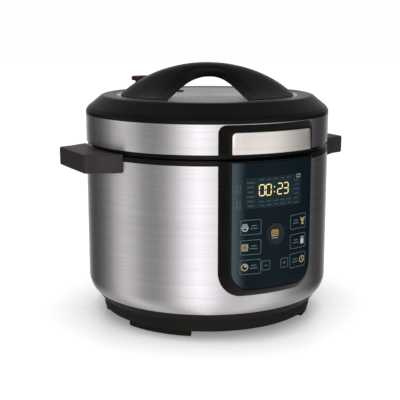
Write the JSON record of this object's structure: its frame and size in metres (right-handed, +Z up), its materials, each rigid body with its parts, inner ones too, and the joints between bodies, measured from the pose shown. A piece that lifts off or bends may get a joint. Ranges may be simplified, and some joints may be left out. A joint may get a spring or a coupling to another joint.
{
  "type": "electric pressure cooker",
  "caption": "Free-standing electric pressure cooker with a steel-clad body, a twist-and-lift locking lid, an arch handle, side handles and a front control panel.",
  "frame": {"origin": "on the table, under the middle of the object's box", "axes": "+Z up, -Y out of the control panel, +X to the right of the panel as the user faces it, along the side handles"},
  "size_m": [0.34, 0.3026, 0.2916],
  "materials": {
    "brushed_steel": "brushed round the body, soft vertical highlights",
    "inner_steel": "dull rolled steel",
    "nameplate_steel": "fine warm brushed plate",
    "cast_aluminium": "cast, slightly rough",
    "brass": "plated contact",
    "gloss_black": "semi-gloss moulded",
    "satin_black": "satin moulded, fine grain",
    "rubber_feet": "matt",
    "panel": "smooth dark blue-green film",
    "key": "smooth dark blue-green",
    "display_glass": "smoked",
    "knob": "satin dark red-brown",
    "silicone": "translucent white silicone",
    "red_silicone": "silicone",
    "circuit_board": "laminate",
    "pale_plastic": "moulded"
  },
  "bodies": {
    "base": {"base_pan": "satin_black", "foot_front_left": "rubber_feet", "foot_front_right": "rubber_feet", "foot_rear_left": "rubber_feet", "foot_rear_right": "rubber_feet", "base_screw": "inner_steel", "outer_shell": "brushed_steel", "rim_ring": "gloss_black", "outer_pot": "cast_aluminium", "inner_pot": "inner_steel", "heating_plate": "cast_aluminium", "heat_shield": "inner_steel", "thermal_fuse": "pale_plastic", "pressure_switch": "satin_black", "sensor_spring": "inner_steel", "power_board": "circuit_board", "display_board": "circuit_board", "display_module": "pale_plastic", "side_handle_left": "satin_black", "side_handle_right": "satin_black", "left_handle_screw_1": "inner_steel", "left_handle_screw_2": "inner_steel", "right_handle_screw_1": "inner_steel", "right_handle_screw_2": "inner_steel", "control_bezel": "gloss_black", "control_panel": "panel", "display_window": "display_glass", "power_inlet": "satin_black", "inlet_pin_live": "brass", "inlet_pin_neutral": "brass", "inlet_pin_earth": "brass", "collector_bracket": "satin_black"},
    "seal": {"sealing_ring": "silicone"},
    "lid": {"lid_dome": "inner_steel", "seal_support_ring": "inner_steel", "lid_cover_ring": "gloss_black", "lid_band": "brushed_steel", "lid_top_plate": "brushed_steel", "lid_handle": "satin_black", "lid_handle_screw_1": "inner_steel", "lid_handle_screw_2": "inner_steel", "nameplate_housing": "gloss_black", "nameplate": "nameplate_steel", "exhaust_tube": "inner_steel", "anti_block_cap": "inner_steel"},
    "steam_knob": {"steam_release_knob": "knob"},
    "float_valve": {"float_valve_pin": "satin_black", "float_valve_seal": "red_silicone"},
    "sensor": {"temperature_sensor": "cast_aluminium"},
    "collector": {"condensate_collector": "gloss_black"},
    "key_left_top_body": {"key_left_top": "key"},
    "key_left_middle_body": {"key_left_middle": "key"},
    "key_left_bottom_body": {"key_left_bottom": "key"},
    "key_right_top_body": {"key_right_top": "key"},
    "key_right_middle_body": {"key_right_middle": "key"},
    "key_right_bottom_body": {"key_right_bottom": "key"},
    "key_minus_body": {"key_minus": "key"},
    "key_plus_body": {"key_plus": "key"},
    "start_button_body": {"start_button": "key"}
  },
  "joints": [
    {"name": "lid_lift", "type": "slide", "parent": "base", "child": "seal", "axis": [0, 0, 1], "range_m": [0, 0.12]},
    {"name": "lid_turn", "type": "hinge", "parent": "seal", "child": "lid", "pos_m": [0, 0, 0.2], "axis": [0, 0, 1], "range_deg": [0, 22.5]},
    {"name": "steam_release_turn", "type": "hinge", "parent": "lid", "child": "steam_knob", "pos_m": [-0.0471, 0.0724, 0.264], "axis": [0, 0, 1], "range_deg": [0, 45]},
    {"name": "float_valve_rise", "type": "slide", "parent": "lid", "child": "float_valve", "axis": [0, 0, 1], "range_m": [0, 0.005]},
    {"name": "sensor_travel", "type": "slide", "parent": "base", "child": "sensor", "axis": [0, 0, 1], "range_m": [-0.003, 0], "stiffness_N_per_m": 800, "springref_m": 0.002, "deforming": ["sensor_spring"]},
    {"name": "collector_pull", "type": "slide", "parent": "base", "child": "collector", "axis": [0, 1, 0], "range_m": [0, 0.04]},
    {"name": "key_left_top_press", "type": "slide", "parent": "base", "child": "key_left_top_body", "axis": [0.1934, 0.9811, 0], "range_m": [0, 0.0005], "stiffness_N_per_m": 1200},
    {"name": "key_left_middle_press", "type": "slide", "parent": "base", "child": "key_left_middle_body", "axis": [0.1934, 0.9811, 0], "range_m": [0, 0.0005], "stiffness_N_per_m": 1200},
    {"name": "key_left_bottom_press", "type": "slide", "parent": "base", "child": "key_left_bottom_body", "axis": [0.1934, 0.9811, 0], "range_m": [0, 0.0005], "stiffness_N_per_m": 1200},
    {"name": "key_right_top_press", "type": "slide", "parent": "base", "child": "key_right_top_body", "axis": [-0.2131, 0.977, 0], "range_m": [0, 0.0005], "stiffness_N_per_m": 1200},
    {"name": "key_right_middle_press", "type": "slide", "parent": "base", "child": "key_right_middle_body", "axis": [-0.2131, 0.977, 0], "range_m": [0, 0.0005], "stiffness_N_per_m": 1200},
    {"name": "key_right_bottom_press", "type": "slide", "parent": "base", "child": "key_right_bottom_body", "axis": [-0.2131, 0.977, 0], "range_m": [0, 0.0005], "stiffness_N_per_m": 1200},
    {"name": "key_minus_press", "type": "slide", "parent": "base", "child": "key_minus_body", "axis": [0.0738, 0.9973, 0], "range_m": [0, 0.0005], "stiffness_N_per_m": 1200},
    {"name": "key_plus_press", "type": "slide", "parent": "base", "child": "key_plus_body", "axis": [-0.0845, 0.9964, 0], "range_m": [0, 0.0005], "stiffness_N_per_m": 1200},
    {"name": "start_button_press", "type": "slide", "parent": "base", "child": "start_button_body", "axis": [-0.0054, 1, 0], "range_m": [0, 0.001], "stiffness_N_per_m": 1200}
  ]
}
